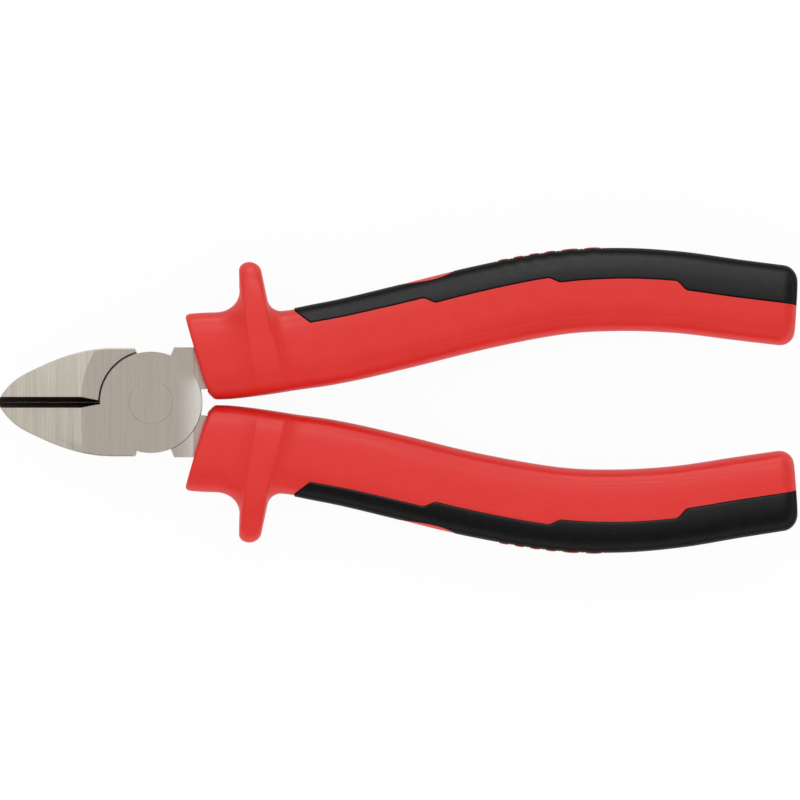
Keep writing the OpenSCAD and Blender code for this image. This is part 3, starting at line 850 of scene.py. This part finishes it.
def make_rivet(finish):
    """The rivet, with two flush ends whose edges are a little rounded."""
    radius = RIVET_EDGE_RADIUS
    end, shank = RIVET_END / 2 - radius - RIVET_FIT, RIVET_SHANK / 2 - RIVET_FIT
    half = [(shank / 2, JOINT_HALF), (end - RIVET_EDGE_WIDTH, JOINT_HALF)]
    half += [
        (end - radius * (1 - math.sin(t)), JOINT_HALF - radius * (1 - math.cos(t)))
        for t in quarter(EDGE_STEPS)
    ]
    half += [(shank, JOINT_HALF - RIVET_CONE)]
    profile = half + [(r, -z) for r, z in reversed(half)]
    turns = np.linspace(0, 2 * math.pi, RIVET_COLUMNS, endpoint=False)
    cos, sin, ones = np.cos(turns), np.sin(turns), np.ones_like(turns)
    rings = [np.stack([r * cos, r * sin, (JOINT_HALF + z) * ones], axis=1) for r, z in profile]
    points, faces = loft(rings)
    rivet = mesh_piece("flush_rivet", points, faces, [finish])
    shade(rivet)
    place(rivet, "front_half", "pivot_rivet")


# Finishes

def feed(tree, socket, value):
    """Sets a node's input to a value, or links it to another node's output."""
    if isinstance(value, bpy.types.NodeSocket):
        tree.links.new(value, socket)
    else:
        socket.default_value = value


def add_node(tree, kind, inputs=None, **settings):
    """A shader node with its settings, and its inputs as values or as links."""
    made = tree.nodes.new(kind)
    for name, value in settings.items():
        setattr(made, name, value)
    for socket, value in (inputs or {}).items():
        feed(tree, made.inputs[socket], value)
    return made


def new_group(name, inputs, outputs):
    """An empty node group with named sockets, and its two end nodes."""
    group = bpy.data.node_groups.new(name, "ShaderNodeTree")
    for title, kind, value in inputs:
        socket = group.interface.new_socket(name=title, in_out="INPUT", socket_type=kind)
        if value is not None:
            socket.default_value = value
    for title, kind in outputs:
        group.interface.new_socket(name=title, in_out="OUTPUT", socket_type=kind)
    return group, group.nodes.new("NodeGroupInput"), group.nodes.new("NodeGroupOutput")


def use_group(tree, group, **values):
    """A node group placed in a material, with its own values."""
    return add_node(tree, "ShaderNodeGroup", values, node_tree=group)


def math_node(tree, operation, first, second=0.0, third=0.0):
    """The result of a Math node."""
    inputs = {0: first, 1: second, 2: third}
    return add_node(tree, "ShaderNodeMath", inputs, operation=operation).outputs[0]


def ranged(tree, value, low, high):
    """A value from 0 to 1 spread over another range."""
    inputs = {"Value": value, "To Min": low, "To Max": high}
    return add_node(tree, "ShaderNodeMapRange", inputs).outputs[0]


def rising(tree, value, start, end, **settings):
    """A mask that goes from 0 to 1 between two values."""
    inputs = {"Value": value, "From Min": start, "From Max": end}
    return add_node(tree, "ShaderNodeMapRange", inputs, **settings).outputs[0]


def fade(tree, value, start, end):
    """A mask that goes smoothly from 0 to 1 between two values."""
    return rising(tree, value, start, end, interpolation_type="SMOOTHSTEP")


def fade_mm(tree, value, start, end):
    """A smooth mask between two places in millimetres."""
    return fade(tree, value, start * MM, end * MM)


def noise_node(tree, vector, scale, detail, roughness):
    """Noise stretched to run from 0 to 1."""
    inputs = {"Vector": vector, "Scale": scale, "Detail": detail, "Roughness": roughness}
    noise = add_node(tree, "ShaderNodeTexNoise", inputs).outputs[0]
    return rising(tree, noise, *NOISE_SPAN)


def blend_colours(tree, factor, first, second):
    """Two colours mixed by a factor."""
    node = add_node(tree, "ShaderNodeMix", data_type="RGBA")
    sockets = {socket.identifier: socket for socket in node.inputs}
    feed(tree, sockets["Factor_Float"], factor)
    feed(tree, sockets["A_Color"], first)
    feed(tree, sockets["B_Color"], second)
    return next(socket for socket in node.outputs if socket.identifier == "Result_Color")


def brushed_lines():
    """Fine grinding lines that run across the tool's length, with broader ones among them."""
    group, given, out = new_group(
        "Brushed lines",
        [("Vector", "NodeSocketVector", None), ("Lines", "NodeSocketFloat", 4500.0)],
        [("Shade", "NodeSocketFloat"), ("Height", "NodeSocketFloat")],
    )
    stretch = {"Vector": given.outputs["Vector"], "Scale": LINE_STRETCH}
    stretched = add_node(group, "ShaderNodeMapping", stretch).outputs[0]
    lines = given.outputs["Lines"]
    fine = noise_node(group, stretched, lines, detail=3.0, roughness=0.65)
    fewer_lines = math_node(group, "MULTIPLY", lines, BROAD_LINES)
    broad = noise_node(group, stretched, fewer_lines, detail=2.0, roughness=0.5)
    shade_value = math_node(group, "MULTIPLY", fine, FINE_SHARE)
    shade_value = math_node(group, "MULTIPLY_ADD", broad, BROAD_SHARE, shade_value)
    group.links.new(shade_value, out.inputs["Shade"])
    group.links.new(fine, out.inputs["Height"])
    return group


def mould_grain():
    """The fine eroded texture of a moulding tool, with a slow mottle over it."""
    group, given, out = new_group(
        "Mould grain",
        [
            ("Vector", "NodeSocketVector", None), ("Grains", "NodeSocketFloat", 3500.0),
            ("Mottles", "NodeSocketFloat", 260.0),
        ],
        [("Shade", "NodeSocketFloat"), ("Height", "NodeSocketFloat")],
    )
    vector = given.outputs["Vector"]
    grain = noise_node(group, vector, given.outputs["Grains"], detail=2.0, roughness=0.55)
    mottle = noise_node(group, vector, given.outputs["Mottles"], detail=3.0, roughness=0.6)
    shade_value = math_node(group, "MULTIPLY", grain, GRAIN_SHARE)
    shade_value = math_node(group, "MULTIPLY_ADD", mottle, MOTTLE_SHARE, shade_value)
    group.links.new(shade_value, out.inputs["Shade"])
    group.links.new(grain, out.inputs["Height"])
    return group


def edge_wear_and_sheen():
    """Convex edges scuffed by handling and lightened by a painted sheen, broken up by a patchy
    noise.
    """
    group, given, out = new_group(
        "Edge wear and sheen",
        [("Vector", "NodeSocketVector", None), ("Pointiness", "NodeSocketFloat", 0.5)],
        [("Wear and sheen", "NodeSocketFloat")],
    )
    edge = rising(group, given.outputs["Pointiness"], *WEAR_AND_SHEEN_SPAN)
    patches = noise_node(group, given.outputs["Vector"], WEAR_AND_SHEEN_PATCHES, detail=3.0, roughness=0.6)
    group.links.new(math_node(group, "MULTIPLY", edge, patches), out.inputs["Wear and sheen"])
    return group


def new_finish(name, **sockets):
    """A material with one Principled shader, whose plain values are set on its sockets."""
    material = bpy.data.materials.new(name)
    material.use_nodes = True
    tree = material.node_tree
    shader = tree.nodes["Principled BSDF"]
    for socket, value in sockets.items():
        shader.inputs[socket].default_value = value
    coords = add_node(tree, "ShaderNodeTexCoord").outputs["Object"]
    return material, tree, shader, coords


def set_surface(tree, shader, colour, roughness, height, strength, depth):
    """Links a finish's colour and roughness, and its bump with a depth in millimetres."""
    tree.links.new(colour, shader.inputs["Base Color"])
    tree.links.new(roughness, shader.inputs["Roughness"])
    inputs = {"Height": height, "Strength": strength, "Distance": depth * MM}
    bump = add_node(tree, "ShaderNodeBump", inputs)
    tree.links.new(bump.outputs[0], shader.inputs["Normal"])


def above_middle(tree, axes):
    """The height above the joint's middle plane."""
    return math_node(tree, "SUBTRACT", axes["Z"], JOINT_HALF * MM)


def crease_mask(tree, axes):
    """0 on the ground nose and 1 behind the crease, which bows more on each jaw's far side."""
    side = math_node(tree, "SIGN", axes["Y"])
    over = math_node(tree, "MULTIPLY", above_middle(tree, axes), side)
    far = fade_mm(tree, over, *CREASE_TURN)
    sweep = ranged(tree, far, LAP_SIDE_SWEEP * MM, FAR_SIDE_SWEEP * MM)
    across = math_node(tree, "DIVIDE", axes["Y"], JAW_HALF_WIDTH * MM)
    bowed = math_node(tree, "MULTIPLY", math_node(tree, "MULTIPLY", across, across), sweep)
    crease = math_node(tree, "SUBTRACT", bowed, SLOPE_START * MM)
    behind = math_node(tree, "SUBTRACT", axes["X"], crease)
    return fade_mm(tree, behind, -CREASE_BLUR, CREASE_BLUR)


def painted_highlight_mask(tree, axes):
    """1 at the back of the lap and on the neck beside it, where a highlight is painted on the
    steel.
    """
    face = math_node(tree, "SIGN", above_middle(tree, axes))
    towards_far_side = math_node(tree, "MULTIPLY", axes["Y"], face)
    along = fade_mm(tree, axes["X"], *HIGHLIGHT_SPAN)
    across = fade_mm(tree, towards_far_side, *HIGHLIGHT_SIDE)
    neck = fade_mm(tree, axes["X"], *NECK_HIGHLIGHT_SPAN)
    return math_node(tree, "MAXIMUM", math_node(tree, "MULTIPLY", along, across), neck)


def steel_finish(name, lines):
    """Forged steel: satin joint faces, a brighter ground nose in front of the crease, and a painted
    highlight.
    """
    material, tree, shader, coords = new_finish(name, Metallic=0.7)
    brushed = use_group(tree, lines, Vector=coords, Lines=4200.0).outputs
    axes = add_node(tree, "ShaderNodeSeparateXYZ", {"Vector": coords}).outputs
    behind_crease = crease_mask(tree, axes)
    ground = blend_colours(tree, brushed["Shade"], *GROUND_SHADES)
    satin = blend_colours(tree, brushed["Shade"], *SATIN_SHADES)
    colour = blend_colours(tree, behind_crease, ground, satin)
    # Painted highlight at the back of the lap and on the necks.
    colour = blend_colours(tree, painted_highlight_mask(tree, axes), colour, PAINTED_HIGHLIGHT_SHADE)
    rough = ranged(tree, brushed["Shade"], *STEEL_ROUGHNESS)
    rough = math_node(tree, "MULTIPLY_ADD", behind_crease, SATIN_SMOOTHING, rough)
    set_surface(tree, shader, colour, rough, brushed["Height"], strength=0.12, depth=0.08)
    return material


def groove_shade_finish(lines):
    """The groove painted dark for its deep shade, with a painted highlight on the cutting edges in
    its middle.
    """
    material, tree, shader, coords = new_finish("dark_groove_steel", Metallic=0.6)
    brushed = use_group(tree, lines, Vector=coords, Lines=1500.0).outputs
    # Painted shade: dark steel for the shade deep in the groove.
    scale = blend_colours(tree, brushed["Shade"], *GROOVE_SHADES)
    across = add_node(tree, "ShaderNodeSeparateXYZ", {"Vector": coords}).outputs["Y"]
    edge = fade_mm(tree, math_node(tree, "ABSOLUTE", across), 2 * EDGE_LINE, EDGE_LINE)
    # Painted highlight along the cutting edges.
    colour = blend_colours(tree, edge, scale, CUTTING_EDGE_HIGHLIGHT_SHADE)
    rough = ranged(tree, brushed["Shade"], *GROOVE_ROUGHNESS)
    set_surface(tree, shader, colour, rough, brushed["Height"], strength=0.2, depth=0.1)
    return material


def worn_highlit_edge_finish(lines):
    """The broken edges of the forgings, lighter from handling and from a painted highlight."""
    material, tree, shader, coords = new_finish("worn_highlit_edge_steel", Metallic=0.5)
    brushed = use_group(tree, lines, Vector=coords, Lines=2600.0).outputs
    # Lighter steel: scuffs from handling, and a painted highlight on edges and slopes.
    colour = blend_colours(tree, brushed["Shade"], *WORN_HIGHLIT_SHADES)
    rough = ranged(tree, brushed["Shade"], *WORN_ROUGHNESS)
    set_surface(tree, shader, colour, rough, brushed["Height"], strength=0.08, depth=0.06)
    return material


def dull_rims(tree, shader, gloss, span):
    """Takes the gloss away where a surface is seen at a low angle."""
    specular = shader.inputs["Specular IOR Level"]
    specular.default_value = gloss[0]
    grazing = add_node(tree, "ShaderNodeLayerWeight", {"Blend": 0.5}).outputs["Facing"]
    tree.links.new(ranged(tree, fade(tree, grazing, *span), *gloss), specular)


def rubbed_and_sheen_edges(tree, wear_and_sheen, coords):
    """Where handling has scuffed the edges of a moulded piece, and a sheen is painted on them."""
    pointed = add_node(tree, "ShaderNodeNewGeometry").outputs["Pointiness"]
    return use_group(tree, wear_and_sheen, Vector=coords, Pointiness=pointed).outputs["Wear and sheen"]


def red_finish(grain, wear_and_sheen):
    """The hard sleeve's red plastic, with the moulding tool's fine texture."""
    material, tree, shader, coords = new_finish("red_moulded_sleeve")
    texture = use_group(tree, grain, Vector=coords, Grains=3200.0, Mottles=180.0).outputs
    rubbed_and_sheen = rubbed_and_sheen_edges(tree, wear_and_sheen, coords)
    rubbing_and_sheen = math_node(tree, "MULTIPLY", rubbed_and_sheen, RED_RUBBING_AND_SHEEN)
    colour = blend_colours(tree, texture["Shade"], *RED_SHADES)
    # Convex edges lighter: scuffs from handling, and a painted sheen.
    colour = blend_colours(tree, rubbing_and_sheen, colour, RED_RUBBED_AND_SHEEN_SHADE)
    rough = ranged(tree, texture["Shade"], *RED_ROUGHNESS)
    rough = math_node(tree, "MULTIPLY_ADD", rubbed_and_sheen, RED_RUBBED_SMOOTHING, rough)
    dull_rims(tree, shader, PLASTIC_GLOSS, PLASTIC_DULLING)
    set_surface(tree, shader, colour, rough, texture["Height"], strength=0.07, depth=0.06)
    return material


def dust_specks(tree, coords):
    """A few tiny light specks."""
    cells = add_node(tree, "ShaderNodeTexVoronoi", {"Vector": coords, "Scale": DUST_CELLS})
    return fade(tree, cells.outputs["Distance"], *DUST_SPECK)


def black_finish(grain, wear_and_sheen):
    """The soft zone's black rubber, duller and coarser than the sleeve."""
    material, tree, shader, coords = new_finish("black_soft_rubber")
    texture = use_group(tree, grain, Vector=coords, Grains=2400.0, Mottles=420.0).outputs
    rubbed_and_sheen = rubbed_and_sheen_edges(tree, wear_and_sheen, coords)
    rubbing_and_sheen = math_node(tree, "MULTIPLY", rubbed_and_sheen, BLACK_RUBBING_AND_SHEEN)
    colour = blend_colours(tree, texture["Shade"], *BLACK_SHADES)
    # Convex edges lighter: scuffs from handling, and a painted sheen.
    colour = blend_colours(tree, rubbing_and_sheen, colour, BLACK_RUBBED_AND_SHEEN_SHADE)
    colour = blend_colours(tree, dust_specks(tree, coords), colour, DUST_SHADE)
    rough = ranged(tree, texture["Shade"], *BLACK_ROUGHNESS)
    dull_rims(tree, shader, RUBBER_GLOSS, RUBBER_DULLING)
    set_surface(tree, shader, colour, rough, texture["Height"], strength=0.2, depth=0.08)
    return material


# Studio

def seen_directly(tree):
    """1 where the camera, a reflection or glass looks, and 0 for light on its way."""
    path = add_node(tree, "ShaderNodeLightPath").outputs
    shiny = math_node(tree, "MAXIMUM", path["Is Glossy Ray"], path["Is Transmission Ray"])
    return math_node(tree, "MAXIMUM", path["Is Camera Ray"], shiny)


def mix_shaders(tree, share, first, second, output):
    """Shows two shaders mixed by a share."""
    inputs = {0: share, 1: first.outputs[0], 2: second.outputs[0]}
    mixed = add_node(tree, "ShaderNodeMixShader", inputs)
    tree.links.new(mixed.outputs[0], tree.nodes[output].inputs["Surface"])


def make_floor():
    """A pale floor that looks white and keeps a trace of the tool's shadow."""
    material = bpy.data.materials.new("white_floor")
    material.use_nodes = True
    tree = material.node_tree
    tree.nodes.remove(tree.nodes["Principled BSDF"])
    paint = add_node(tree, "ShaderNodeBsdfDiffuse", {"Color": FLOOR_PAINT})
    glow = add_node(tree, "ShaderNodeEmission", {"Color": WHITE, "Strength": 1.0})
    share = math_node(tree, "MULTIPLY", seen_directly(tree), FLOOR_GLOW)
    mix_shaders(tree, share, paint, glow, "Material Output")
    low = cad_box[0].z / MM
    r = FLOOR_REACH / MM
    points = [(-r, -r, low), (r, -r, low), (r, r, low), (-r, r, low)]
    floor = mesh_piece("floor", points, [(0, 1, 2, 3)], [material])


def make_world():
    """Even light all round.

    Shiny surfaces mirror a bright strip of ceiling, dim walls, and a window low on one side.
    """
    world = bpy.data.worlds.new("studio")
    bpy.context.scene.world = world
    world.use_nodes = True
    tree = world.node_tree
    room = tree.nodes["Background"]
    room.inputs["Color"].default_value = WHITE
    room.inputs["Strength"].default_value = ROOM_LIGHT
    direction = add_node(tree, "ShaderNodeTexCoord").outputs["Generated"]
    towards = add_node(
        tree, "ShaderNodeVectorMath", {0: direction, 1: CEILING_MIDDLE}, operation="DOT_PRODUCT"
    ).outputs["Value"]
    axes = add_node(tree, "ShaderNodeSeparateXYZ", {"Vector": direction}).outputs
    left, right = fade(tree, axes["X"], *CEILING_LEFT), fade(tree, axes["X"], *CEILING_RIGHT)
    strip = ranged(tree, math_node(tree, "MULTIPLY", left, right), CEILING_SIDE_SHARE, 1.0)
    ceiling = math_node(tree, "MULTIPLY", fade(tree, towards, *CEILING_SPAN), strip)
    window = math_node(tree, "MULTIPLY", fade(tree, axes["Y"], *WINDOW_SPAN), strip)
    glow = ranged(tree, ceiling, WALL_GLOW, CEILING_GLOW)
    glow = math_node(tree, "MULTIPLY_ADD", window, WINDOW_GLOW, glow)
    mirrored = add_node(tree, "ShaderNodeBackground", {"Color": WHITE, "Strength": glow})
    shiny = add_node(tree, "ShaderNodeLightPath").outputs["Is Glossy Ray"]
    mix_shaders(tree, shiny, room, mirrored, "World Output")


def make_lamp(name, where, size, watts, mirrored):
    """A rectangular lamp that points at the tool."""
    lamp = bpy.data.lights.new(name, "AREA")
    lamp.shape = "RECTANGLE"
    lamp.size, lamp.size_y = size
    lamp.energy = watts
    holder = bpy.data.objects.new(name, lamp)
    holder.visible_glossy = mirrored
    holder.location = where
    aim = Vector(TOOL_MIDDLE) - Vector(where)
    holder.rotation_euler = aim.to_track_quat("-Z", "Y").to_euler()
    bpy.context.scene.collection.objects.link(holder)


def make_camera():
    """A long lens straight above the tool."""
    lens = bpy.data.cameras.new("camera")
    lens.lens = LENS
    lens.sensor_width = SENSOR
    camera = bpy.data.objects.new("camera", lens)
    distance = LENS / SENSOR * VIEW_WIDTH
    camera.location = Vector((*VIEW_MIDDLE, JOINT_HALF + distance)) * MM
    bpy.context.scene.collection.objects.link(camera)
    bpy.context.scene.camera = camera


lines, grain, wear_and_sheen = brushed_lines(), mould_grain(), edge_wear_and_sheen()
steel = [
    steel_finish("forged_satin_steel", lines), groove_shade_finish(lines), worn_highlit_edge_finish(lines)
]
make_forging("front_forging", "front_jaw_half", "front_half", steel)
make_forging("rear_forging", "rear_jaw_half", "rear_half", steel)
make_rivet(steel_finish("rivet_ground_steel", lines))
red, black = red_finish(grain, wear_and_sheen), black_finish(grain, wear_and_sheen)
make_grip("upper", upper, 0.0, "front_half", red, black)
make_grip("lower", lower, LOWER_TURN_IN, "rear_half", red, black)

make_floor()
make_world()
for lamp in LAMPS:
    make_lamp(*lamp)
make_camera()
bpy.context.scene.view_settings.view_transform = "Standard"
